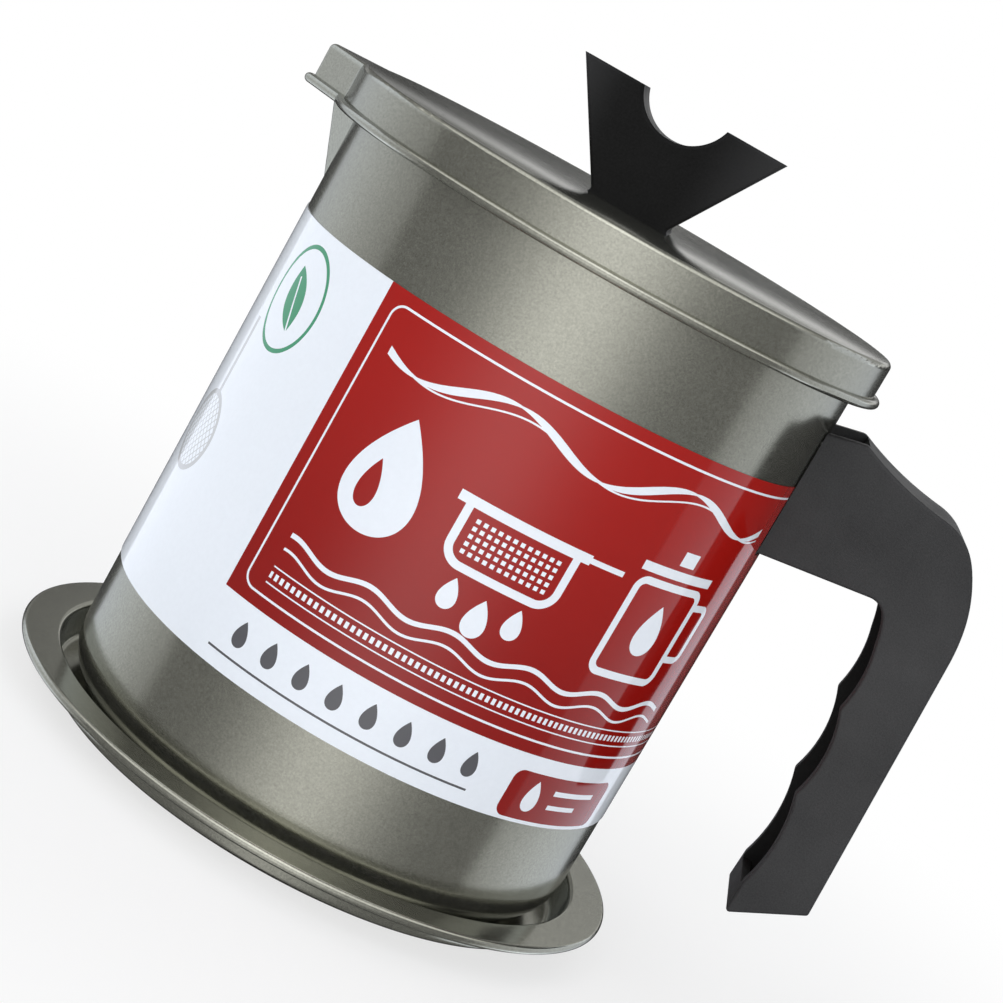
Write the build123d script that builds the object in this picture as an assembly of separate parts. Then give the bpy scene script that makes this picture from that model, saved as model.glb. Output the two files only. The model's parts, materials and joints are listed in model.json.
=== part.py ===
from build123d import *
import math
import os

# A strainer pot for cooking fat: drip tray, pot with a V spout and a side handle, lift-out
# strainer, and a lid with a V knob. Millimetres. +Z is up, the handle points along +X, the
# spout along -X, and the origin is the centre of the tray's underside.

# ---------------------------------------------------------------- driving dimensions

# Clearances
SEAT_GAP = 0.3          # between pieces that rest on each other but lift apart
FILM_GAP = 0.05         # between the pot and what is wrapped round it or welded on it
BORE_GAP = 0.05         # radial, round a screw or an insert

# Pot
POT_R = 62.5            # outside of the straight wall
POT_SHEET = 0.7
POT_HEIGHT = 148.0      # underside to the top of the rolled mouth
POT_BASE_ROUND = 11.0   # outside corner at the base
POT_CURL_R = 0.9        # section radius of the rolled mouth
SPOUT_REACH = 11.2      # how far the spout's ridge stands out of the wall at the mouth
SPOUT_DROP = 29.0       # from the mouth down to where the ridge meets the wall
SPOUT_SLOPE = 40.0      # degrees between each flank and the wall's tangent at the ridge
SPOUT_RIDGE_ROUND = 2.5

# Drip tray
TRAY_SHEET = 0.7
TRAY_DEPTH = 8.4        # underside to the top of the rim
TRAY_WELL_GAP = 3.5     # between the pot's wall and the mouth of the well
TRAY_WELL_SLANT = 1.0   # how much smaller the well is at the underside
TRAY_RIM_WIDTH = 9.1    # mouth of the well to the outside of the rolled edge
TRAY_BEAD_R = 1.05      # section radius of the rolled edge
TRAY_BASE_ROUND = 2.4   # corner between the underside and the well wall
TRAY_RIM_ROUND = 1.2    # corner between the well wall and the rim

# Label sleeve
LABEL_SHEET = 0.2
LABEL_LOW = 29.6        # above the pot's underside
LABEL_HEIGHT = 87.5
LABEL_NOTCH_GAP = 0.8   # round the handle's arm

# Strainer
STRAINER_SHEET = 0.6
STRAINER_OVERHANG = 1.0 # flange past the rolled mouth
STRAINER_WALL_GAP = 1.2 # between the pot's wall and the cup
STRAINER_TAPER = 1.6    # how much smaller the wall is at the floor
STRAINER_DEPTH = 42.0
STRAINER_LIP = 5.0      # inward lip that carries the mesh
MESH_THICK = 0.5
MESH_SIDE_GAP = 0.4
RING_WIDTH = 3.6
RING_THICK = 1.0
RING_ROUND = 0.35

# Lid
LID_SHEET = 0.7
LID_SIDE_GAP = 1.25     # between the strainer's flange and the skirt
LID_SKIRT = 10.4        # from the underside of the bead to the top
LID_TOP_ROUND = 1.4
LID_BEAD_R = 1.05
LID_BEAD_OUT = 0.85     # bead centre outside the skirt's outer face
LID_SPOUT_GAP = 1.1     # between the two spouts' ridges
LID_SPOUT_ROUND = 2.4

# Handle, side view: points are (out from the pot's wall, down from the pot's mouth), and
# those along the top and the outer edge end with the direction of the inner side, in degrees
GRIP_WIDTH = 27.0
GRIP_WALL = 3.0         # cheeks and the web that joins them
FOOT_WALL = 2.6         # closed end of the channel
LIP_WALL = 2.4          # lip across the channel at the foot, towards the pot
LIP_HEIGHT = 7.0        # over the foot's inner corner
ARM_TOP_DROP = 17.1     # top edge of the arm where it meets the pot
ARM_CREST = (7.8, 15.3, -90)
ARM_DIP = (22.0, 19.8, -106)
SHOULDER = (30.5, 21.1, -97)
BEND = (41.7, 29.2, -142)
OUTER_TOP = (47.0, 49.0, -178)
OUTER_FOOT = (49.6, 112.1)
INNER_FOOT = (33.2, 121.0)
GROOVE_ENDS = ((33.5, 112.6), (33.1, 89.6), (31.8, 68.2), (31.3, 52.6))
GROOVE_DEPTHS = (1.8, 2.0, 1.0)
ARM_CORNER = (24.7, 43.7)
ARM_UNDER_DROP = 47.4   # underside of the arm at the pot
BEND_HEADINGS = ((1.0, -0.12), (0.03, -1.0))        # of the bend at the shoulder and its end
THROAT_HEADINGS = ((-0.22, 1.0), (-1.0, -0.15))     # of the curve from the grooves to the arm
CREST_ROUND = 2.0
FOOT_ROUND = 0.8
GROOVE_ROUND = 2.0
GRIP_EDGE_ROUND = 0.7
RECESS_REACH = 8.5      # the arm's top is open from the pot to here

# Handle bracket and its screws, also measured from the wall and the mouth
BRACKET_SHEET = 1.2
BRACKET_DROP = 26.4     # top of the shelf that the handle's bosses stand on
BRACKET_REACH = 25.5
BRACKET_SKIRT = 9.0     # depth of the folded sides
BRACKET_SIDE_GAP = 0.6  # to the handle's cheeks
SADDLE_ABOVE = 6.0      # saddle over and under the shelf
SADDLE_BELOW = 20.0
SCREW_OUTS = (13.0, 21.5)
SCREW_R = 1.75
SCREW_HEAD_R = 3.4
SCREW_HEAD = 2.2
SCREW_GRIP = 4.6        # length in the boss
SCREW_TIP_GAP = 0.5     # blind bore past a screw's tip
WASHER_R = 3.9
WASHER_THICK = 0.8
BOSS_WALL = 2.4

# Knob and its screw
KNOB_HEIGHT = 25.6
KNOB_TOP_HALF = 24.9
KNOB_WAIST_HALF = 9.4
KNOB_WAIST = 0.9        # height of the waist over the lid
KNOB_WAIST_ROUND = 0.8
KNOB_FOOT_HALF = 9.9
KNOB_DEPTH = 21.0
KNOB_NOTCH_HALF = 10.2  # half the notch's width at the top
KNOB_NOTCH_DEPTH = 7.6
KNOB_NOTCH_CHAMFER = 0.75
KNOB_EDGE_ROUND = 0.7
INSERT_R = 3.6
INSERT_LENGTH = 9.0
INSERT_GROOVE = 0.5     # depth of the two grooves that the moulding grips
KNOB_SCREW_R = 2.0
KNOB_SCREW_GRIP = 7.5   # length in the insert
KNOB_HEAD_R = 4.2
KNOB_HEAD = 2.4
KNOB_WASHER_R = 6.0
KNOB_WASHER_THICK = 0.8

# ---------------------------------------------------------------- levels and fits

pot_z = TRAY_SHEET + SEAT_GAP
mouth_z = pot_z + POT_HEIGHT
curl_line_r = POT_R + POT_CURL_R - POT_SHEET        # centre of the rolled mouth
curl_r = curl_line_r + POT_CURL_R
spout_foot = mouth_z - SPOUT_DROP

well_r = POT_R + TRAY_WELL_GAP
base_r = well_r - TRAY_WELL_SLANT
tray_r = well_r + TRAY_RIM_WIDTH

flange_low = mouth_z + SEAT_GAP
flange_top = flange_low + STRAINER_SHEET
flange_r = curl_r + STRAINER_OVERHANG
cup_r = POT_R - POT_SHEET - STRAINER_WALL_GAP
floor_r = cup_r - STRAINER_TAPER
floor_z = flange_top - STRAINER_DEPTH
mesh_z = floor_z + STRAINER_SHEET
mesh_r = floor_r - STRAINER_SHEET - MESH_SIDE_GAP

lid_inside = flange_top + SEAT_GAP
lid_top = lid_inside + LID_SHEET
lid_low = lid_top - LID_SKIRT
lid_r = flange_r + LID_SIDE_GAP + LID_SHEET
spout_tip = curl_line_r + SPOUT_REACH
lid_spout_reach = spout_tip + POT_CURL_R + LID_SPOUT_GAP + LID_SHEET - lid_r

cheek = GRIP_WIDTH / 2
channel = cheek - GRIP_WALL
arm_face_r = POT_R + SEAT_GAP
hidden_out = -POT_R * 0.1                           # the arm is drawn from inside the pot
arm_under_z = mouth_z - ARM_UNDER_DROP
shelf_z = mouth_z - BRACKET_DROP
screw_xs = [POT_R + out for out in SCREW_OUTS]


def axis_cylinder(radius, low, high, x=0.0, y=0.0):
    """Upright cylinder between two heights."""
    return Pos(x, y, (low + high) / 2) * Cylinder(radius, high - low)


def block(x0, x1, y0, y1, z0, z1):
    """Box between two corners."""
    centre = Pos((x0 + x1) / 2, (y0 + y1) / 2, (z0 + z1) / 2)
    return centre * Box(x1 - x0, y1 - y0, z1 - z0)


def round_corners(face, points, radius):
    """Fillet the corners of a flat section that lie nearest to the points."""
    for x, z in points:
        near = min(face.vertices(), key=lambda v: math.hypot(v.X - x, v.Y - z))
        face = fillet([near], radius)
    return face


def extrude_y(face, half):
    """Extrude an XZ section both ways along Y."""
    return extrude(Plane.XZ * face, amount=half, both=True)


def save(shape, name):
    shape.label = name
    export_step(shape, f"parts/{name}.step")


# ---------------------------------------------------------------- drip tray

def drip_tray():
    """Pressed saucer, turned from one section of sheet."""
    inner_base = base_r - TRAY_SHEET
    rim_under = TRAY_DEPTH - TRAY_SHEET
    bead_x = tray_r - TRAY_BEAD_R
    section = make_face(Polyline(
        (0, 0), (base_r, 0), (well_r + TRAY_SHEET, rim_under), (bead_x, rim_under),
        (bead_x, TRAY_DEPTH), (well_r, TRAY_DEPTH), (inner_base, TRAY_SHEET),
        (0, TRAY_SHEET), close=True))
    section = round_corners(section, [(base_r, 0)], TRAY_BASE_ROUND)
    section = round_corners(section, [(inner_base, TRAY_SHEET)], TRAY_BASE_ROUND - TRAY_SHEET)
    section = round_corners(section, [(well_r, TRAY_DEPTH)], TRAY_RIM_ROUND)
    section = round_corners(section, [(well_r + TRAY_SHEET, rim_under)], TRAY_RIM_ROUND - TRAY_SHEET)
    section += Pos(bead_x, TRAY_DEPTH - TRAY_BEAD_R) * Circle(TRAY_BEAD_R)
    return revolve(Plane.XZ * section, Axis.Z)


# ---------------------------------------------------------------- outlines with a spout

def spout_triangle(tip, depth):
    """Flat V whose tip points along -X, reaching back inside the round wall."""
    half = depth / math.tan(math.radians(SPOUT_SLOPE))
    return make_face(Polyline((-tip, 0), (depth - tip, half), (depth - tip, -half), close=True))


def spout_outline(radius, reach, tip_round):
    """Circle with a V bulge, rounded at the tip and in both creases."""
    outline = Circle(radius) + spout_triangle(radius + reach, 2 * reach)
    outline = fillet([outline.vertices().sort_by(Axis.X)[0]], tip_round)
    creases = [v for v in outline.vertices()
               if abs(math.hypot(v.X, v.Y) - radius) < 0.01 and v.X < 0 and abs(v.Y) > 1]
    return fillet(creases, tip_round)


def bead_on(outline, height, bead_r):
    """Round wire that follows an outline at one height."""
    path = (Pos(0, 0, height) * outline).wire()
    return sweep(Plane(origin=path @ 0, z_dir=path % 0) * Circle(bead_r), path=path)


# ---------------------------------------------------------------- pot

def spout_wedge(inset):
    """Wedge of the spout, from inside the wall below its foot up to the mouth."""
    side_inset = inset / math.cos(math.radians(SPOUT_SLOPE))
    lean_out = SPOUT_REACH / SPOUT_DROP
    root = SPOUT_DROP * 0.2

    def section(z):
        tip = POT_R - side_inset + (z - spout_foot) * lean_out
        face = spout_triangle(tip, 2 * SPOUT_REACH)
        ridge = face.vertices().sort_by(Axis.X)[0]
        return Pos(0, 0, z) * fillet([ridge], SPOUT_RIDGE_ROUND - inset)

    return loft([section(spout_foot - root), section(mouth_z - POT_CURL_R)], ruled=True)


def pot_solid(inset):
    """The pot's shape as a full solid, set in by a wall."""
    can = axis_cylinder(POT_R - inset, pot_z + inset, mouth_z - POT_CURL_R)
    can = fillet(can.edges().sort_by(Axis.Z)[0], POT_BASE_ROUND - inset)
    return can + spout_wedge(inset)


def pot_body():
    shell = pot_solid(0) - pot_solid(POT_SHEET)
    mouth = spout_outline(curl_line_r, SPOUT_REACH, SPOUT_RIDGE_ROUND)
    return shell + bead_on(mouth, mouth_z - POT_CURL_R, POT_CURL_R)


def label_sleeve():
    """Printed film round the pot, notched for the handle's arm."""
    inner = POT_R + FILM_GAP
    low = pot_z + LABEL_LOW
    high = low + LABEL_HEIGHT
    sleeve = axis_cylinder(inner + LABEL_SHEET, low, high) - axis_cylinder(inner, low - 1, high + 1)
    half = cheek + LABEL_NOTCH_GAP
    return sleeve - block(0, 2 * POT_R, -half, half, arm_under_z - LABEL_NOTCH_GAP, high + 1)


# ---------------------------------------------------------------- handle

def from_wall(point, inset=0.0):
    """Place a point of the side view; an inset moves it towards its inner side."""
    out, drop, *inwards = point
    turn = math.radians(inwards[0]) if inwards else 0.0
    return POT_R + out + inset * math.cos(turn), mouth_z - drop + inset * math.sin(turn)


def run_into_pot(point, drop):
    """Carry the line from a point to the pot's wall on to inside the pot."""
    rise = (drop - point[1]) / point[0]
    return hidden_out, drop - hidden_out * rise


def outer_run(wall, foot_wall):
    """Top and outer edge of the side view, set in by the walls, from the pot to the foot."""
    start = from_wall((*run_into_pot(ARM_CREST, ARM_TOP_DROP), ARM_CREST[2]), wall)
    crest, dip, shoulder, bend, outer_top = [
        from_wall(point, wall) for point in (ARM_CREST, ARM_DIP, SHOULDER, BEND, OUTER_TOP)]
    slant = (INNER_FOOT[1] - OUTER_FOOT[1]) / (OUTER_FOOT[0] - INNER_FOOT[0])
    foot_x, foot_z = from_wall(OUTER_FOOT)
    foot = (foot_x - wall, foot_z - wall * slant + foot_wall * math.hypot(1, slant))
    edges = [
        Line(start, crest),
        Spline(crest, dip, shoulder),
        Spline(shoulder, bend, outer_top, tangents=BEND_HEADINGS),
        Line(outer_top, foot),
    ]
    return start, foot, slant, edges


def grip_profile():
    """Side view of the whole handle in the XZ plane."""
    start, foot, _, edges = outer_run(0, 0)
    inner_foot = from_wall(INNER_FOOT)
    corner = from_wall(ARM_CORNER)
    under = from_wall(run_into_pot(ARM_CORNER, ARM_UNDER_DROP))
    ends = [from_wall(end) for end in GROOVE_ENDS]
    edges += [Line(foot, inner_foot), Line(inner_foot, ends[0])]
    for low, high, depth in zip(ends, ends[1:], GROOVE_DEPTHS):
        middle = ((low[0] + high[0]) / 2 + depth, (low[1] + high[1]) / 2)
        edges.append(ThreePointArc(low, middle, high))
    edges += [
        Spline(ends[-1], corner, tangents=THROAT_HEADINGS),
        Line(corner, under),
        Line(under, start),
    ]
    face = round_corners(make_face(Wire(edges)), [from_wall(ARM_CREST)], CREST_ROUND)
    face = round_corners(face, [foot, inner_foot], FOOT_ROUND)
    return round_corners(face, ends[1:3], GROOVE_ROUND)


def channel_profile():
    """Side view of the handle's channel, which runs out through the finger side over a lip."""
    start, foot, slant, edges = outer_run(GRIP_WALL, FOOT_WALL)
    corner_x, corner_z = from_wall(INNER_FOOT)
    lip_x, lip_top = corner_x + LIP_WALL, corner_z + LIP_HEIGHT
    floor_end = (lip_x, foot[1] + (lip_x - foot[0]) * slant)
    outside = (POT_R + hidden_out, lip_top)
    end = Polyline(foot, floor_end, (lip_x, lip_top), outside, start)
    return make_face(Wire(edges + end.edges()))


def handle_grip():
    """Moulded U channel, open to the pot, the fingers and part of the arm's top."""
    blank = extrude_y(grip_profile(), cheek)
    rims = [e for e in blank.edges() if abs(abs(e.center().Y) - cheek) < 0.01
            and e.bounding_box().max.X > POT_R + 2]
    blank = fillet(rims, GRIP_EDGE_ROUND)
    grip = blank - extrude_y(channel_profile(), channel)
    grip -= block(0, POT_R + RECESS_REACH, -channel, channel, arm_under_z, mouth_z)
    web_z = from_wall(ARM_DIP)[1] - GRIP_WALL / 2
    boss_r = SCREW_R + BOSS_WALL
    for x in screw_xs:
        grip += axis_cylinder(boss_r, shelf_z, web_z, x)
    for x in screw_xs:
        grip -= axis_cylinder(SCREW_R + BORE_GAP, pot_z, shelf_z + SCREW_GRIP + SCREW_TIP_GAP, x)
    return grip - axis_cylinder(arm_face_r, 0, mouth_z)


def handle_bracket():
    """Stamped bracket: a saddle on the pot's wall and a shelf with folded sides."""
    half = channel - BRACKET_SIDE_GAP
    inside = half - BRACKET_SHEET
    inner = POT_R + FILM_GAP
    saddle_low = shelf_z - SADDLE_BELOW
    saddle_top = shelf_z + SADDLE_ABOVE
    end = POT_R + BRACKET_REACH
    saddle = axis_cylinder(inner + BRACKET_SHEET, saddle_low, saddle_top)
    saddle &= block(POT_R / 2, 2 * POT_R, -half, half, saddle_low, saddle_top)
    shelf = block(POT_R / 2, end, -half, half, shelf_z - BRACKET_SKIRT, shelf_z)
    shelf -= block(0, end + 1, -inside, inside, 0, shelf_z - BRACKET_SHEET)
    bracket = saddle + shelf - axis_cylinder(inner, 0, mouth_z)
    for x in screw_xs:
        bracket -= axis_cylinder(SCREW_R + 2 * BORE_GAP, 0, mouth_z, x)
    return bracket


def pan_screw(radius, head_r, head, seat, reach, x=0.0):
    """Upright pan-head screw whose head hangs under seat; the shank goes up by reach."""
    top = axis_cylinder(head_r, seat - head, seat, x)
    top = fillet(top.edges().sort_by(Axis.Z)[0], head * 0.4)
    low = seat - head
    arm, half = head_r * 0.55, head_r * 0.14
    cross = block(x - arm, x + arm, -half, half, low, low + head * 0.45)
    cross += block(x - half, x + half, -arm, arm, low, low + head * 0.45)
    return top - cross + axis_cylinder(radius, seat, seat + reach, x)


def handle_screws():
    seat = shelf_z - BRACKET_SHEET - WASHER_THICK
    reach = WASHER_THICK + BRACKET_SHEET + SCREW_GRIP
    return [pan_screw(SCREW_R, SCREW_HEAD_R, SCREW_HEAD, seat, reach, x) for x in screw_xs]


def flat_washer(radius, bore, low, thick, x=0.0):
    disc = axis_cylinder(radius, low, low + thick, x)
    return disc - axis_cylinder(bore, low - 1, low + thick + 1, x)


def handle_washers():
    low = shelf_z - BRACKET_SHEET - WASHER_THICK
    return [flat_washer(WASHER_R, SCREW_R + BORE_GAP, low, WASHER_THICK, x) for x in screw_xs]


# ---------------------------------------------------------------- lid and knob

def lid_shell():
    """Pressed cap with a spout bulge, a bead round its skirt and a hole for the knob's screw."""
    outline = spout_outline(lid_r, lid_spout_reach, LID_SPOUT_ROUND)
    cap = extrude(Pos(0, 0, lid_low) * outline, lid_top - lid_low)
    cap = fillet(cap.faces().sort_by(Axis.Z)[-1].edges(), LID_TOP_ROUND)
    inner = offset(outline, -LID_SHEET)
    hollow = extrude(Pos(0, 0, lid_low - 1) * inner, lid_inside - lid_low + 1)
    hollow = fillet(hollow.faces().sort_by(Axis.Z)[-1].edges(), LID_TOP_ROUND - LID_SHEET)
    bead = bead_on(offset(outline, LID_BEAD_OUT), lid_low + LID_BEAD_R, LID_BEAD_R)
    hole = axis_cylinder(KNOB_SCREW_R + 2 * BORE_GAP, lid_low, lid_top + 1)
    return cap - hollow + bead - hole


def lid_knob():
    """V block with a rounded notch in its top, on a slightly flared foot."""
    top = KNOB_HEIGHT
    notch_r = (KNOB_NOTCH_HALF ** 2 + KNOB_NOTCH_DEPTH ** 2) / (2 * KNOB_NOTCH_DEPTH)
    side = make_face(Polyline(
        (-KNOB_FOOT_HALF, 0), (KNOB_FOOT_HALF, 0), (KNOB_WAIST_HALF, KNOB_WAIST),
        (KNOB_TOP_HALF, top), (-KNOB_TOP_HALF, top), (-KNOB_WAIST_HALF, KNOB_WAIST), close=True))
    waist = [(KNOB_WAIST_HALF, KNOB_WAIST), (-KNOB_WAIST_HALF, KNOB_WAIST)]
    side = round_corners(side, waist, KNOB_WAIST_ROUND)
    side -= Pos(0, top - KNOB_NOTCH_DEPTH + notch_r) * Circle(notch_r)
    blank = extrude_y(side, KNOB_DEPTH / 2)

    def front_edges():
        return [e for e in blank.edges() if abs(abs(e.center().Y) - KNOB_DEPTH / 2) < 0.01
                and e.center().Z > KNOB_WAIST / 4]

    notch = [e for e in front_edges() if e.geom_type == GeomType.CIRCLE and e.radius > notch_r * 0.9]
    blank = chamfer(notch, KNOB_NOTCH_CHAMFER)
    blank = fillet([e for e in front_edges() if e.geom_type != GeomType.CIRCLE], KNOB_EDGE_ROUND)
    knob = Pos(0, 0, lid_top) * blank
    return knob - axis_cylinder(INSERT_R + BORE_GAP, lid_top - 1, lid_top + INSERT_LENGTH + BORE_GAP)


def knob_insert():
    """Brass bush with a plain thread bore and two grooves that the moulding grips."""
    low, high = lid_top, lid_top + INSERT_LENGTH
    bush = axis_cylinder(INSERT_R, low, high)
    for share in (0.35, 0.65):
        z = low + INSERT_LENGTH * share
        groove = axis_cylinder(INSERT_R + 1, z - INSERT_GROOVE, z + INSERT_GROOVE)
        bush -= groove - axis_cylinder(INSERT_R - INSERT_GROOVE, low, high)
    bore_top = low + KNOB_SCREW_GRIP + SCREW_TIP_GAP
    return bush - axis_cylinder(KNOB_SCREW_R + BORE_GAP, low - 1, bore_top)


def knob_screw():
    seat = lid_inside - KNOB_WASHER_THICK
    reach = KNOB_WASHER_THICK + LID_SHEET + KNOB_SCREW_GRIP
    return pan_screw(KNOB_SCREW_R, KNOB_HEAD_R, KNOB_HEAD, seat, reach)


def knob_washer():
    low = lid_inside - KNOB_WASHER_THICK
    return flat_washer(KNOB_WASHER_R, KNOB_SCREW_R + BORE_GAP, low, KNOB_WASHER_THICK)


# ---------------------------------------------------------------- strainer

def strainer_cup():
    """Turned section: flange, tapered wall and the lip under the mesh."""
    sheet = STRAINER_SHEET
    lip_r = floor_r - sheet - STRAINER_LIP
    section = make_face(Polyline(
        (flange_r, flange_top), (flange_r, flange_low), (cup_r, flange_low), (floor_r, floor_z),
        (lip_r, floor_z), (lip_r, mesh_z), (floor_r - sheet, mesh_z), (cup_r - sheet, flange_top),
        close=True))
    section = round_corners(section, [(cup_r - sheet, flange_top)], 2 * sheet)
    section = round_corners(section, [(cup_r, flange_low), (floor_r, floor_z)], sheet)
    return revolve(Plane.XZ * section, Axis.Z)


def strainer_mesh():
    """The woven cloth as one thin disc, between the lip and the ring."""
    return axis_cylinder(mesh_r, mesh_z, mesh_z + MESH_THICK)


def strainer_ring():
    low = mesh_z + MESH_THICK
    top = low + RING_THICK
    ring = axis_cylinder(mesh_r, low, top) - axis_cylinder(mesh_r - RING_WIDTH, low - 1, top + 1)
    return fillet(ring.edges().group_by(Axis.Z)[-1], RING_ROUND)


# ---------------------------------------------------------------- files

PARTS = {
    "drip_tray": drip_tray,
    "pot_body": pot_body,
    "label_sleeve": label_sleeve,
    "handle_bracket": handle_bracket,
    "handle_grip": handle_grip,
    "handle_screws": handle_screws,
    "handle_washers": handle_washers,
    "lid_shell": lid_shell,
    "lid_knob": lid_knob,
    "knob_insert": knob_insert,
    "knob_screw": knob_screw,
    "knob_washer": knob_washer,
    "strainer_cup": strainer_cup,
    "strainer_mesh": strainer_mesh,
    "strainer_ring": strainer_ring,
}

os.makedirs("parts", exist_ok=True)
for node, make in PARTS.items():
    made = make()
    if isinstance(made, list):
        made = Compound(children=made)
    save(made, node)
    print(node, "volume", round(made.volume, 1))
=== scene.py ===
import json
import math

import bpy
from mathutils import Matrix, Vector


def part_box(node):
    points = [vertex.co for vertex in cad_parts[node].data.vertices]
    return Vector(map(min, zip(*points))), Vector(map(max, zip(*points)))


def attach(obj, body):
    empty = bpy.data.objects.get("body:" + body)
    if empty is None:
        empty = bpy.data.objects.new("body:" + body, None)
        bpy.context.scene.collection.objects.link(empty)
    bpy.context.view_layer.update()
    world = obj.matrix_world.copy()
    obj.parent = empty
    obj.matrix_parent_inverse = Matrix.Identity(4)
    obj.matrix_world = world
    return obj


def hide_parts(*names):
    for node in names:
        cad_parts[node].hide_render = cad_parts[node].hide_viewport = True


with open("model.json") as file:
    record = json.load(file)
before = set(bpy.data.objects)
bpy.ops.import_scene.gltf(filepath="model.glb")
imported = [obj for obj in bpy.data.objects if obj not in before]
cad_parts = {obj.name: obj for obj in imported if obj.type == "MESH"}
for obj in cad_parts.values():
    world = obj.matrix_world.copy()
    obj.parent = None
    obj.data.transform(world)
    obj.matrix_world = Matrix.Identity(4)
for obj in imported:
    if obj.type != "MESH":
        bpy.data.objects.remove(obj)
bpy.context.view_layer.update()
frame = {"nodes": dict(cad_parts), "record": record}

MM = 0.001

# ---------------------------------------------------------------- camera

CAMERA_AT = (0.028201, -0.538116, 0.177515)
CAMERA_PAN = 0.013159           # radians, before the object's turn below
CAMERA_TILT = -0.178169
CAMERA_ROLL = 0.519786
OBJECT_TURN = math.radians(3)   # the handle stands this far towards the camera
CAMERA_LENS = 87.26


def add_camera():
    """Camera at the viewing angle, rolled so that the pot leans to the left."""
    forward = Vector((math.sin(CAMERA_PAN) * math.cos(CAMERA_TILT),
                      math.cos(CAMERA_PAN) * math.cos(CAMERA_TILT), math.sin(CAMERA_TILT)))
    level = forward.cross(Vector((0, 0, 1))).normalized()
    upright = level.cross(forward)
    right = math.cos(CAMERA_ROLL) * level + math.sin(CAMERA_ROLL) * upright
    up = right.cross(forward)
    axes = Matrix((right, up, -forward)).transposed()
    camera = bpy.data.objects.new("camera", bpy.data.cameras.new("camera"))
    camera.data.lens = CAMERA_LENS
    camera.data.sensor_width = 36
    camera.data.clip_start = 0.01
    turn = Matrix.Rotation(OBJECT_TURN, 3, "Z")
    camera.matrix_world = Matrix.Translation(CAMERA_AT) @ (turn @ axes).to_4x4()
    bpy.context.scene.collection.objects.link(camera)
    bpy.context.scene.camera = camera


# ---------------------------------------------------------------- shader expressions

class Value:
    """A number in a node tree. Arithmetic on it adds Math nodes."""

    def __init__(self, tree, socket):
        self.tree, self.socket = tree, socket

    def math(self, operation, *others):
        made = self.tree.nodes.new("ShaderNodeMath")
        made.operation = operation
        for slot, value in zip(made.inputs, (self, *others)):
            if isinstance(value, Value):
                self.tree.links.new(value.socket, slot)
            else:
                slot.default_value = value
        return Value(self.tree, made.outputs[0])

    def __add__(self, other):
        return self.math("ADD", other)

    def __sub__(self, other):
        return self.math("SUBTRACT", other)

    def __mul__(self, other):
        return self.math("MULTIPLY", other)

    def __truediv__(self, other):
        return self.math("DIVIDE", other)

    def abs(self):
        return self.math("ABSOLUTE")

    def below(self, limit):
        return self.math("LESS_THAN", limit)

    def above(self, limit):
        return self.math("GREATER_THAN", limit)

    def least(self, other):
        return self.math("MINIMUM", other)

    def most(self, other):
        return self.math("MAXIMUM", other)

    def between(self, low, high):
        return self.above(low) * self.below(high)


def add_node(tree, kind, inputs=None, **settings):
    """Adds a node; inputs maps socket names to numbers, colours, sockets or Values."""
    made = tree.nodes.new(kind)
    for key, value in settings.items():
        setattr(made, key, value)
    for key, value in (inputs or {}).items():
        if isinstance(value, Value):
            value = value.socket
        if isinstance(value, bpy.types.NodeSocket):
            tree.links.new(value, made.inputs[key])
        else:
            made.inputs[key].default_value = value
    return made


def start_material(name, **sockets):
    """New material with a Principled shader; uniform values go straight on its sockets."""
    material = bpy.data.materials.new(name)
    material.use_nodes = True
    tree = material.node_tree
    shader = tree.nodes["Principled BSDF"]
    for key, value in sockets.items():
        shader.inputs[key.replace("_", " ")].default_value = value
    return material, tree, shader


def place(tree):
    return add_node(tree, "ShaderNodeTexCoord").outputs["Object"]


def noise(tree, scale, detail=2.0, rough=0.5, stretch=None):
    """Noise over the object's own coordinates, from 0 to 1."""
    at = place(tree)
    if stretch:
        at = add_node(tree, "ShaderNodeMapping", {"Vector": at, "Scale": stretch}).outputs["Vector"]
    made = add_node(tree, "ShaderNodeTexNoise",
                    {"Vector": at, "Scale": scale, "Detail": detail, "Roughness": rough})
    return Value(tree, made.outputs["Fac"])


def map_range(value, start, stop, low, high, steps):
    limits = {"From Min": start, "From Max": stop, "To Min": low, "To Max": high}
    made = add_node(value.tree, "ShaderNodeMapRange", {"Value": value, **limits},
                    interpolation_type=steps)
    return Value(value.tree, made.outputs["Result"])


NOISE_LOW, NOISE_HIGH = 0.3, 0.7


def spread(value, low, high):
    """Maps the useful part of a noise to a range."""
    return map_range(value, NOISE_LOW, NOISE_HIGH, low, high, "LINEAR")


def ramp(value, start, stop, low=0.0, high=1.0):
    """Smooth step from low at start to high at stop."""
    return map_range(value, start, stop, low, high, "SMOOTHSTEP")


def blend_colours(tree, share, first, second):
    made = tree.nodes.new("ShaderNodeMix")
    made.data_type = "RGBA"
    for slot, value in ((made.inputs[0], share), (made.inputs[6], first), (made.inputs[7], second)):
        if isinstance(value, Value):
            value = value.socket
        if isinstance(value, bpy.types.NodeSocket):
            tree.links.new(value, slot)
        else:
            slot.default_value = value
    return made.outputs[2]


def add_bump(tree, shader, height, strength, distance):
    made = add_node(tree, "ShaderNodeBump",
                    {"Height": height, "Strength": strength, "Distance": distance})
    tree.links.new(made.outputs["Normal"], shader.inputs["Normal"])


def link(tree, value, shader, socket):
    tree.links.new(value.socket if isinstance(value, Value) else value, shader.inputs[socket])


# ---------------------------------------------------------------- materials

LID_R = 0.067
LID_CROWN = 0.0035              # how far the lid's top falls from its middle to its edge
CROWN_END = 0.973               # share of the radius where the lid's rounded edge begins
CROWN_FADE = 0.04
COAT_RELIEF, LID_RELIEF = 0.0000065, 0.000006
FLAKE_RELIEF = 0.000002
FLAKE_SCALE, GRAIN_SCALE = 2500.0, 2300

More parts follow.
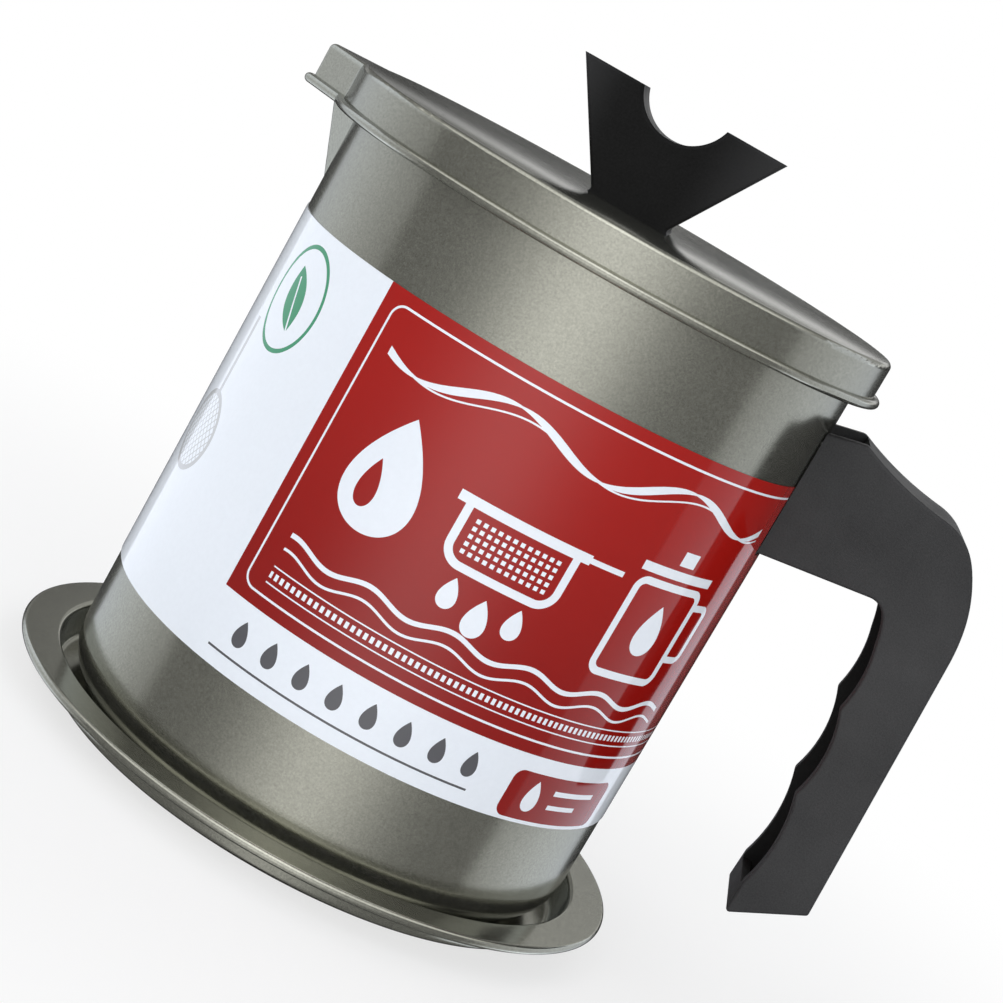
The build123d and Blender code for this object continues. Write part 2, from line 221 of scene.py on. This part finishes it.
# The handle's channel, in the handle's own coordinates
CHANNEL_HALF = 0.0106
CHANNEL_TOP = 0.118
LIP_FRONT, LIP_TOP = 0.0962, 0.0353
FACES_AWAY = 0.35               # a normal with less than this along a direction faces away from it
# Painted shade: near-black colour laid in the handle's channel, where shade falls.
CHANNEL_PAINTED_SHADE = (0.007, 0.007, 0.007, 1)
# Painted sheen: a paler grey laid on the knob's ends, standing in for reflected light.
PAINTED_SHEEN_GREY = (0.031, 0.031, 0.032, 1)


def coated_steel(name="coated_steel", crown=0.0, relief_depth=COAT_RELIEF):
    """Champagne-grey metallic coat with fine flakes; a lid's top is crowned by so many metres."""
    material, tree, shader = start_material(name)
    shader.inputs["Specular Tint"].default_value = (0.62, 0.62, 0.62, 1)
    flakes = add_node(tree, "ShaderNodeTexVoronoi", {"Vector": place(tree), "Scale": FLAKE_SCALE})
    glint = add_node(tree, "ShaderNodeSeparateColor", {"Color": flakes.outputs["Color"]})
    flake, binder = Value(tree, glint.outputs["Red"]), Value(tree, glint.outputs["Green"])
    grain = noise(tree, GRAIN_SCALE, 3, 0.6)
    cloud = noise(tree, 45, 2)
    share = spread(grain, 0.02, 0.48) + flake * 0.32 + spread(cloud, 0.12, 0.18)
    colour = blend_colours(tree, share, (0.33, 0.33, 0.285, 1), (0.51, 0.51, 0.44, 1))
    link(tree, colour, shader, "Base Color")
    link(tree, binder * -0.07 + 0.96, shader, "Metallic")
    link(tree, spread(noise(tree, 60, 3), 0.13, 0.155) + flake * 0.04, shader, "Roughness")
    relief = grain * relief_depth + flake * FLAKE_RELIEF
    if crown:
        parts = add_node(tree, "ShaderNodeSeparateXYZ", {"Vector": place(tree)})
        x, y = Value(tree, parts.outputs["X"]), Value(tree, parts.outputs["Y"])
        out = ((x * x + y * y) / LID_R ** 2).math("SMOOTH_MIN", CROWN_END ** 2, CROWN_FADE)
        relief = relief - out.math("POWER", 1.5) * crown
    add_bump(tree, shader, relief, 1.0, 1.0)
    return material


def painted_channel_shade_mask(tree):
    """Mask of the handle's channel between its cheeks, where painted shade darkens the plastic to
    near black.
    """
    parts = add_node(tree, "ShaderNodeSeparateXYZ", {"Vector": place(tree)})
    x, y, z = (Value(tree, parts.outputs[axis]) for axis in "XYZ")
    facing = add_node(tree, "ShaderNodeNewGeometry").outputs["True Normal"]
    normal = add_node(tree, "ShaderNodeSeparateXYZ", {"Vector": facing})
    out, up = Value(tree, normal.outputs["X"]), Value(tree, normal.outputs["Z"])
    past_lip = x.above(LIP_FRONT).most(z.above(LIP_TOP))
    not_on_top = up.below(FACES_AWAY).most(z.below(LIP_TOP))
    between_cheeks = y.abs().below(CHANNEL_HALF) * z.below(CHANNEL_TOP)
    return between_cheeks * out.below(FACES_AWAY) * past_lip * not_on_top


def moulded_plastic(name, dark, light, low, high, grit, depth, shine, channel=False, painted_sheen=False):
    """Moulded plastic with a fine even texture and faint flow clouds, with painted shade in a
    channel and a painted sheen on paler ends where asked.
    """
    material, tree, shader = start_material(name, Specular_IOR_Level=shine)
    cloud = noise(tree, 38, 3)
    fine = noise(tree, grit, 3, 0.65)
    share = spread(cloud, 0.0, 0.5) + spread(fine, 0.0, 0.5)
    colour = blend_colours(tree, share, dark, light)
    # Painted shade: the channel between the handle's cheeks is coloured near black.
    if channel:
        colour = blend_colours(tree, painted_channel_shade_mask(tree), colour, CHANNEL_PAINTED_SHADE)
    # Painted sheen: the knob's ends turn paler towards their tips.
    if painted_sheen:
        parts = add_node(tree, "ShaderNodeSeparateXYZ", {"Vector": place(tree)})
        x = Value(tree, parts.outputs["X"])
        ends = ramp(x, -0.012, -0.026) + ramp(x, 0.006, 0.026)
        colour = blend_colours(tree, ends, colour, PAINTED_SHEEN_GREY)
    link(tree, colour, shader, "Base Color")
    link(tree, spread(noise(tree, 90, 4), low, high), shader, "Roughness")
    add_bump(tree, shader, fine, depth, 0.0001)
    return material


def bright_metal(name, dark, light, low, high, stretch, scale=900.0):
    """Bare metal with fine drawn or turned lines."""
    material, tree, shader = start_material(name, Metallic=1.0)
    lines = noise(tree, scale, 3, 0.6, stretch)
    link(tree, blend_colours(tree, spread(lines, 0.0, 1.0), dark, light), shader, "Base Color")
    link(tree, spread(noise(tree, 120, 3), low, high), shader, "Roughness")
    add_bump(tree, shader, lines, 0.12, 0.00005)
    return material


# Label artwork: along = millimetres round the pot from its front, up = millimetres from the base.

LABEL_R = 62.75
WHITE = (0.85, 0.895, 0.96, 1)
RED = (0.365, 0.009, 0.006, 1)
# Painted shade: a darker copy of the red for the panel's lower part.
PAINTED_SHADE_RED = (0.262, 0.006, 0.004, 1)
GREEN = (0.045, 0.29, 0.15, 1)
GREY = (0.10, 0.10, 0.11, 1)
PALE_GREY = (0.55, 0.56, 0.58, 1)
MOTTLE = (0.06, 0.05, 0.05, 1)


def round_box(along, up, centre, half, corner):
    """Distance outside a rounded rectangle, negative inside."""
    x = (along - centre[0]).abs() - (half[0] - corner)
    z = (up - centre[1]).abs() - (half[1] - corner)
    far_x, far_z = x.most(0.0), z.most(0.0)
    outside = (far_x * far_x + far_z * far_z).math("SQRT")
    return outside + x.most(z).least(0.0) - corner


def ring(along, up, centre, radius):
    """Distance outside a circle, negative inside."""
    x, z = along - centre[0], up - centre[1]
    return (x * x + z * z).math("SQRT") - radius


def drop(along, up, centre, height, width):
    """Mask of a drop with its point at the top."""
    share = ((up - (centre[1] - height / 2)) / height).most(0.0).least(1.0)
    half = share.math("SQRT") * (share * -1.0 + 1.0) * (width / 0.77)
    return (along - centre[0]).abs().math("LESS_THAN", half)


def band(along, up, x0, x1, z0, z1):
    return along.between(x0, x1) * up.between(z0, z1)


def most_of(*masks):
    """One mask that covers what any of several masks covers."""
    whole = masks[0]
    for mask in masks[1:]:
        whole = whole.most(mask)
    return whole


def drop_mark(along, up):
    """A large drop with a shine in it."""
    big = drop(along, up, (-13.0, 84.5), 26.0, 17.0)
    shine = drop(along, up, (-15.6, 81.5), 11.0, 4.6)
    return big * (shine * -1.0 + 1.0)


def sieve_mark(along, up):
    """A sieve with a handle, dripping."""
    basket = round_box(along, up, (17.0, 88.0), (12.5, 12.0), 4.0)
    bowl = basket.abs().below(0.9) * up.below(89.0)
    lip = band(along, up, 1.6, 32.4, 88.0, 90.2).most(band(along, up, 32.4, 41.0, 88.5, 89.7))
    hole_x, hole_z = ((way.math("PINGPONG", 1.7) - 0.85).abs().below(0.47) for way in (along, up))
    holes = hole_x * hole_z * basket.below(-2.0) * up.below(86.6)
    drips = [drop(along, up, at, height, width)
             for at, height, width in (((9.5, 70.2), 7.0, 4.2), ((17.0, 68.0), 8.6, 5.2),
                                       ((24.5, 70.2), 7.0, 4.2))]
    return most_of(bowl, lip, holes, *drips)


def pot_mark(along, up):
    """A pot with its lid and handle, and a drop on it."""
    body = round_box(along, up, (56.0, 79.0), (10.5, 11.0), 2.4).abs().below(0.85)
    lid = band(along, up, 44.2, 67.8, 91.8, 93.9).most(band(along, up, 53.6, 58.4, 95.1, 98.4))
    arm = round_box(along, up, (69.5, 80.5), (3.6, 6.4), 2.0).abs().below(0.8) * along.above(67.2)
    return most_of(body, lid, arm, drop(along, up, (56.0, 79.5), 12.0, 7.4))


def flowing_line(along, up):
    """A line along the panel's top, thick and thin like a pen stroke, with a fine echo."""
    bend = along * 0.145 + 1.0
    stroke = bend.math("COSINE").abs() * 0.75 + 0.22
    flow = (bend.math("SINE") * 3.0 - up + 107.3).abs().math("LESS_THAN", stroke)
    echo = ((bend - 0.5).math("SINE") * 2.4 - up + 106.2).abs().below(0.2)
    return flow.most(echo) * along.between(-26.0, 78.0)


def panel_foot(along, up):
    """Waves of oil, and under them a row of dots between two rules."""
    swell = (along * 0.33).math("SINE") * 1.1 + up
    waves = swell.between(61.6, 62.7).most(swell.between(58.6, 59.2)) * along.between(-25.0, 78.0)
    dots = (along.math("PINGPONG", 1.5) - 0.75).abs().below(0.42) * up.between(53.2, 54.6)
    rules = up.between(55.6, 55.9).most(up.between(51.9, 52.2))
    return waves.most(dots.most(rules) * along.between(-25.0, 90.0))


def leaf_mark(along, up):
    """A leaf in a thin oval, on the white to the left of the panel."""
    lean = math.radians(24)
    a, b = along + 58.0, up - 102.5
    across = a * math.cos(lean) + b * math.sin(lean)
    length = b * math.cos(lean) - a * math.sin(lean)
    share = (length / 15.0 + 0.5).most(0.0).least(1.0)
    leaf = across.abs().math("LESS_THAN", share * (share * -1.0 + 1.0) * 15.0)
    vein = across.abs().below(0.28) * length.below(5.0)
    oval = (a * a + b * b * 0.78).math("SQRT").between(10.0, 10.9)
    return (leaf * (vein * -1.0 + 1.0)).most(oval)


def skimmer_mark(along, up):
    """Line drawing of a skimmer: a woven disc on a long grip."""
    disc = ring(along, up, (-70.0, 66.0), 9.0)
    one_way, other_way = ((line.math("PINGPONG", 1.1)).below(0.22)
                          for line in (along + up, along - up))
    weave = one_way.most(other_way) * disc.below(0.0)
    grip = band(along, up, -70.8, -69.2, 75.0, 94.0)
    return most_of(weave, disc.abs().below(0.6), grip)


def strip_marks(along, up):
    """A rule with a row of small drops over it, on the bottom strip."""
    beads = drop(along.math("PINGPONG", 4.0), up, (0.0, 39.8), 6.0, 3.4)
    return band(along, up, -30.0, 34.0, 33.9, 34.4).most(beads * along.between(-28.0, 36.0))


def tab_marks(along, up):
    """A drop and two short bars on the small tab."""
    return most_of(drop(along, up, (50.5, 37.2), 7.4, 4.4),
                   band(along, up, 56.5, 71.5, 38.3, 39.5),
                   band(along, up, 56.5, 66.5, 34.9, 36.0))


def label_film():
    """Glossy printed film: red panel, small red tab, green mark and plain pictograms."""
    material, tree, shader = start_material("label_film", Specular_IOR_Level=0.65)
    parts = add_node(tree, "ShaderNodeSeparateXYZ", {"Vector": place(tree)})
    x, y, z = (Value(tree, parts.outputs[axis]) for axis in "XYZ")
    along = x.math("ARCTAN2", y * -1.0) * LABEL_R
    up = z * 1000.0

    panel = band(along, up, -33.2, 128.0, 46.3, 200.0)
    panel_frame = round_box(along, up, (47.5, 82.2), (77.4, 33.0), 3.0).abs().below(0.25)
    tab = round_box(along, up, (60.2, 37.0), (17.3, 5.6), 2.4).below(0.0)
    back_band = along.below(-96.0).most(along.above(134.0)) * up.between(34.0, 41.0)
    back_frame = round_box(along, up, (-146.0, 80.0), (34.0, 24.0), 3.0).abs().below(0.35)
    marks = most_of(drop_mark(along, up), sieve_mark(along, up), pot_mark(along, up),
                    flowing_line(along, up), panel_foot(along, up), panel_frame)

    colour = blend_colours(tree, leaf_mark(along, up), WHITE, GREEN)
    colour = blend_colours(tree, skimmer_mark(along, up).most(back_frame), colour, PALE_GREY)
    colour = blend_colours(tree, strip_marks(along, up), colour, GREY)
    # Painted shade: the red panel darkens from its top down to its foot.
    red = blend_colours(tree, ramp(up, 42.0, 112.0), PAINTED_SHADE_RED, RED)
    colour = blend_colours(tree, most_of(panel, tab, back_band), colour, red)
    colour = blend_colours(tree, (marks * panel).most(tab_marks(along, up)), colour, WHITE)
    mottled = (spread(noise(tree, 900, 3, 0.6), 0.0, 0.025)
               + spread(noise(tree, 22, 2), 0.0, 0.02))
    colour = blend_colours(tree, mottled, colour, MOTTLE)
    link(tree, colour, shader, "Base Color")
    link(tree, spread(noise(tree, 30, 3), 0.05, 0.09), shader, "Roughness")
    add_bump(tree, shader, noise(tree, 70, 2), 0.03, 0.0004)
    return material


# ---------------------------------------------------------------- pieces

def mesh_piece(name, points, faces, material, body):
    data = bpy.data.meshes.new(name)
    data.from_pydata(points, [], faces)
    data.update()
    made = bpy.data.objects.new(name, data)
    bpy.context.scene.collection.objects.link(made)
    data.materials.append(material)
    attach(made, body)
    return made


WIRE_PITCH, WIRE_R = 1.3 * MM, 0.115 * MM
WIRE_END_GAP = 0.4 * MM


def woven_mesh(material):
    """Wire cloth of the strainer: two sets of wires that pass over and under each other."""
    low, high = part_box("strainer_mesh")
    middle = (low.z + high.z) / 2
    reach = (high.x - low.x) / 2 - WIRE_END_GAP
    pitch, wire = WIRE_PITCH, WIRE_R
    count = int(reach / pitch)
    points, faces = [], []

    def add_wire(line, turned):
        half = math.sqrt(max(reach ** 2 - (line * pitch) ** 2, 0))
        steps = int(half / pitch)
        if steps < 2:
            return
        start = len(points)
        for step in range(-steps, steps + 1):
            lift = wire if (line + step + turned) % 2 else -wire
            for side, rise in ((wire, 0), (0, wire), (-wire, 0), (0, -wire)):
                spot = (step * pitch, line * pitch + side)
                points.append((*(spot[::-1] if turned else spot), middle + lift + rise))
        rings = 2 * steps + 1
        for i in range(rings - 1):
            for k in range(4):
                a, b = start + 4 * i + k, start + 4 * i + (k + 1) % 4
                face = (a, b, b + 4, a + 4)
                faces.append(face if turned else face[::-1])
        first = tuple(start + k for k in range(4))
        last = tuple(start + 4 * (rings - 1) + k for k in range(4))
        faces.append(first[::-1] if turned else first)
        faces.append(last if turned else last[::-1])

    for line in range(-count, count + 1):
        add_wire(line, 0)
        add_wire(line, 1)
    made = mesh_piece("strainer_wire_cloth", points, faces, material, "strainer")
    for face in made.data.polygons:
        face.use_smooth = True
    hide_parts("strainer_mesh")


ARC_STEPS = 10
ROLL_STEPS = 40
ARC_GUARD = 0.03                # millimetres from an arc's ends to the points that hold the flats
TRAY_ROUNDS = 288
# Section of the tray in millimetres, as in the CAD
TRAY_TOP, TRAY_SHEET = 8.4, 0.7
TRAY_OUTSIDE, WELL_MOUTH, WELL_FOOT = 75.1, 66.0, 65.0
ROLL, FOOT_ROUND, MOUTH_ROUND = 1.05, 2.4, 1.2
TRAY_HUB = 0.5


def rounded(corners):
    """Outline through (x, z, radius) corners, each one rounded, with points close to each arc."""
    outline = []
    for i, (x, z, radius) in enumerate(corners):
        spot = Vector((x, z))
        if not radius:
            outline.append(spot)
            continue
        before = (Vector(corners[i - 1][:2]) - spot).normalized()
        after = (Vector(corners[(i + 1) % len(corners)][:2]) - spot).normalized()
        half = before.angle(after) / 2
        start = spot + before * radius / math.tan(half)
        end = spot + after * radius / math.tan(half)
        centre = spot + (before + after).normalized() * radius / math.sin(half)
        outline.append(start + before * ARC_GUARD)
        swing = math.pi - 2 * half
        for k in range(ARC_STEPS + 1):
            share = k / ARC_STEPS
            turn = ((start - centre) * math.sin((1 - share) * swing)
                    + (end - centre) * math.sin(share * swing)) / math.sin(swing)
            outline.append(centre + turn)
        outline.append(end + after * ARC_GUARD)
    return outline


def turned_tray(material):
    """The drip tray as one finely turned skin, with a rolled edge."""
    edge, middle, under = TRAY_OUTSIDE - ROLL, TRAY_TOP - ROLL, TRAY_TOP - TRAY_SHEET
    dip = math.acos((under - middle) / ROLL)
    rolled = []
    for k in range(ROLL_STEPS + 1):
        turn = math.pi / 2 - (math.pi * 2 - dip) * k / ROLL_STEPS
        rolled.append(Vector((edge + ROLL * math.cos(turn), middle + ROLL * math.sin(turn))))
    inside = rounded([(TRAY_HUB, TRAY_SHEET, 0),
                      (WELL_FOOT - TRAY_SHEET, TRAY_SHEET, FOOT_ROUND - TRAY_SHEET),
                      (WELL_MOUTH, TRAY_TOP, MOUTH_ROUND), (edge, TRAY_TOP, 0)])[:-1]
    below = rounded([(rolled[-1].x, under, 0),
                     (WELL_MOUTH + TRAY_SHEET, under, MOUTH_ROUND - TRAY_SHEET),
                     (WELL_FOOT, 0.0, FOOT_ROUND), (TRAY_HUB, 0.0, 0)])[1:]
    outline = inside + rolled + below
    points, faces = [], []
    for x, z in outline:
        for k in range(TRAY_ROUNDS):
            turn = 2 * math.pi * k / TRAY_ROUNDS
            points.append((x * math.cos(turn) * MM, x * math.sin(turn) * MM, z * MM))
    rows = len(outline)
    for i in range(rows - 1):
        for k in range(TRAY_ROUNDS):
            a, b = i * TRAY_ROUNDS + k, i * TRAY_ROUNDS + (k + 1) % TRAY_ROUNDS
            faces.append((a + TRAY_ROUNDS, b + TRAY_ROUNDS, b, a))
    faces.append(tuple(range(TRAY_ROUNDS)))
    faces.append(tuple(range((rows - 1) * TRAY_ROUNDS, rows * TRAY_ROUNDS))[::-1])
    made = mesh_piece("drip_tray_turned", points, faces, material, "tray")
    for face in made.data.polygons:
        face.use_smooth = True
    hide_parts("drip_tray")


# ---------------------------------------------------------------- studio

FRONT_LIGHT, FRONT_SPREAD = 0.99, 31.0
WINDOW_LIGHT, WINDOW_TOP, LOW_WINDOW = 1.0, 1.3, 1.7
BEHIND_LIGHT, HIGH_BEHIND = 1.2, 0.32
ABOVE_LIGHT = 0.9
DARK_FLAGS, DARK_BEHIND = 0.19, 0.09
FILL = 0.40
FILL_COLOUR, WINDOW_TINT = (0.93, 0.96, 1.0, 1), (0.90, 0.96, 1.08, 1)
LAMPS_AIM = (0, 0, 0.08)
FLOOR_R, FLOOR_DROP = 6.0, -0.2 * MM


def add_area(name, at, size, power):
    """Soft lamp for the shading alone; the reflections come from the studio's walls."""
    light = bpy.data.lights.new(name, "AREA")
    light.shape = "RECTANGLE"
    light.size, light.size_y = size
    light.energy = power
    made = bpy.data.objects.new(name, light)
    made.location = at
    made.rotation_euler = (Vector(LAMPS_AIM) - Vector(at)).to_track_quat("-Z", "Z").to_euler()
    made.visible_glossy = False
    bpy.context.scene.collection.objects.link(made)
    return made


def on_circle(azimuth, radius, height):
    """Point at an azimuth measured from the front (-Y) towards the handle (+X)."""
    turn = math.radians(azimuth)
    return radius * math.sin(turn), -radius * math.cos(turn), height


def studio_walls(tree):
    """Brightness of the studio by direction: soft front light, side windows, dark flags between."""
    way = add_node(tree, "ShaderNodeTexCoord").outputs["Generated"]
    parts = add_node(tree, "ShaderNodeSeparateXYZ", {"Vector": way})
    x, y, z = (Value(tree, parts.outputs[axis]) for axis in "XYZ")
    azimuth = x.math("ARCTAN2", y * -1.0) * math.degrees(1)
    height = z.math("ARCSINE") * math.degrees(1)
    side = azimuth.abs()
    front = ((azimuth - 4.0) / FRONT_SPREAD).math("POWER", 2.0) * -1.0
    glow = front.math("EXPONENT") * FRONT_LIGHT * ramp(height, -40.0, 0.0, 0.45, 1.0)
    glow = glow * ramp(height, 8.0, 22.0, 1.0, 0.85)
    left = ramp(azimuth, -143.0, -141.0) * ramp(azimuth, -78.0, -76.0, 1.0, 0.0)
    right = ramp(azimuth, 85.0, 87.0) * ramp(azimuth, 149.0, 151.0, 1.0, 0.0)
    low = ramp(height, -26.0, -34.0) * (ramp(side, 88.0, 104.0, 0.0, LOW_WINDOW) - 1.0) + 1.0
    window = (left * ramp(height, 0.0, 12.0, 1.0, WINDOW_TOP)
              + right * ramp(height, -2.0, 6.0, 0.91, 0.95) * ramp(height, -34.0, -26.0, 1.35, 1.0))
    window = window * ramp(side, 60.0, 150.0, 0.12, WINDOW_LIGHT) * low
    window = window * ramp(height, -44.0, -36.0) * ramp(height, 30.0, 36.0, 1.0, 0.0)
    window = window * ramp(height, -18.0, -6.0, 1.12, 0.92)
    strip = ramp(height, 5.0, 7.5) * ramp(height, 11.0, 13.5, BEHIND_LIGHT, HIGH_BEHIND)
    strip = strip + ramp(height, 14.0, 17.0) * 0.25
    behind = ramp(side, 140.0, 150.0) * strip * ramp(height, 28.0, 36.0, 1.0, 0.0)
    behind = behind * ramp(x, -0.2, -0.05, 0.4, 1.0)
    above = ramp(height, 34.0, 42.0) * ramp(height, 68.0, 80.0, 1.0, 0.35)
    above = above * ramp(side, 95.0, 130.0, 1.0, 0.25)
    dark = ramp(side, 142.0, 152.0, DARK_FLAGS, DARK_BEHIND) * ramp(side, 155.0, 165.0, 1.0, 0.4)
    return glow + window + behind + above * ABOVE_LIGHT + dark, window


def add_world():
    """White to the camera, the studio's walls in reflections, an even fill for the shading."""
    world = bpy.data.worlds.new("studio")
    world.use_nodes = True
    tree = world.node_tree
    tree.nodes.clear()
    path = add_node(tree, "ShaderNodeLightPath")
    fill = add_node(tree, "ShaderNodeBackground", {"Color": FILL_COLOUR, "Strength": FILL})
    brightness, window = studio_walls(tree)
    tint = blend_colours(tree, window, (1, 1, 1, 1), WINDOW_TINT)
    walls = add_node(tree, "ShaderNodeBackground", {"Color": tint, "Strength": brightness})
    white = add_node(tree, "ShaderNodeBackground", {"Color": (1, 1, 1, 1), "Strength": 1.0})
    mirrored = add_node(tree, "ShaderNodeMixShader", {0: path.outputs["Is Glossy Ray"]})
    tree.links.new(fill.outputs[0], mirrored.inputs[1])
    tree.links.new(walls.outputs[0], mirrored.inputs[2])
    seen = Value(tree, path.outputs["Is Camera Ray"]).most(
        Value(tree, path.outputs["Is Transmission Ray"]))
    mixed = add_node(tree, "ShaderNodeMixShader", {0: seen})
    tree.links.new(mirrored.outputs[0], mixed.inputs[1])
    tree.links.new(white.outputs[0], mixed.inputs[2])
    out = tree.nodes.new("ShaderNodeOutputWorld")
    tree.links.new(mixed.outputs[0], out.inputs["Surface"])
    bpy.context.scene.world = world


def add_floor():
    """Pale round floor that fades to plain white away from the object."""
    material = bpy.data.materials.new("floor")
    material.use_nodes = True
    tree = material.node_tree
    tree.nodes.clear()
    path = add_node(tree, "ShaderNodeLightPath")
    camera, mirror, through = (Value(tree, path.outputs["Is %s Ray" % kind])
                               for kind in ("Camera", "Glossy", "Transmission"))
    seen = camera.most(mirror).most(through)
    diffuse = add_node(tree, "ShaderNodeBsdfDiffuse", {"Color": (0.93, 0.93, 0.93, 1)})
    white = add_node(tree, "ShaderNodeEmission", {"Color": (1, 1, 1, 1), "Strength": 1.0})
    away = add_node(tree, "ShaderNodeVectorMath", {0: place(tree)}, operation="LENGTH")
    far = ramp(Value(tree, away.outputs["Value"]), 0.07, 0.34, 0.67, 1.0)
    mixed = add_node(tree, "ShaderNodeMixShader", {0: far * seen})
    tree.links.new(diffuse.outputs[0], mixed.inputs[1])
    tree.links.new(white.outputs[0], mixed.inputs[2])
    out = tree.nodes.new("ShaderNodeOutputMaterial")
    tree.links.new(mixed.outputs[0], out.inputs["Surface"])
    data = bpy.data.meshes.new("floor")
    rim = [on_circle(azimuth, FLOOR_R, FLOOR_DROP) for azimuth in range(0, 360, 6)]
    data.from_pydata(rim, [], [tuple(range(len(rim)))])
    made = bpy.data.objects.new("floor", data)
    data.materials.append(material)
    made.visible_glossy = False
    bpy.context.scene.collection.objects.link(made)


# ---------------------------------------------------------------- scene

bpy.context.scene.view_settings.view_transform = "Standard"
add_camera()

coat = coated_steel()
lid_coat = coated_steel("coated_steel_lid", crown=LID_CROWN, relief_depth=LID_RELIEF)
film = label_film()
# The handle's plastic carries painted shade in its channel.
handle = moulded_plastic("handle_plastic", (0.020, 0.020, 0.021, 1), (0.048, 0.048, 0.049, 1),
                         0.5, 0.62, 2600, 0.25, 0.35, channel=True)
# The knob's plastic carries a painted sheen on its ends.
black = moulded_plastic("knob_plastic", (0.0035, 0.0035, 0.0035, 1),
                        (0.0125, 0.0125, 0.0125, 1), 0.34, 0.46, 1800, 0.10, 0.08, painted_sheen=True)
steel = bright_metal("strainer_steel", (0.50, 0.49, 0.47, 1), (0.68, 0.67, 0.65, 1), 0.26, 0.29,
                     (1.0, 1.0, 12.0))
plated = bright_metal("plated_steel", (0.50, 0.50, 0.50, 1), (0.64, 0.64, 0.63, 1), 0.28, 0.34,
                      (1.0, 1.0, 1.0))
brass = bright_metal("insert_brass", (0.60, 0.43, 0.17, 1), (0.76, 0.58, 0.28, 1), 0.25, 0.38,
                     (1.0, 1.0, 8.0))
by_slot = {"coated_steel": coat, "label_film": film, "handle_plastic": handle,
           "knob_plastic": black, "strainer_steel": steel, "plated_steel": plated,
           "insert_brass": brass}
for part in frame["record"]["subparts"]:
    made_of = lid_coat if part["node"] == "lid_shell" else by_slot[part["material_slot"]]
    for slot in frame["nodes"][part["node"]].material_slots:
        slot.material = made_of

woven_mesh(steel)
turned_tray(coat)

add_world()
add_floor()
add_area("key_softbox", on_circle(-42, 1.1, 0.65), (0.9, 0.9), 5.6)
add_area("front_softbox", on_circle(38, 1.2, 0.45), (0.9, 0.6), 5.9)
add_area("left_softbox", on_circle(-110, 1.0, 0.5), (0.7, 0.9), 3.6)
add_area("back_softbox", on_circle(150, 1.0, 0.6), (0.8, 0.6), 3.2)
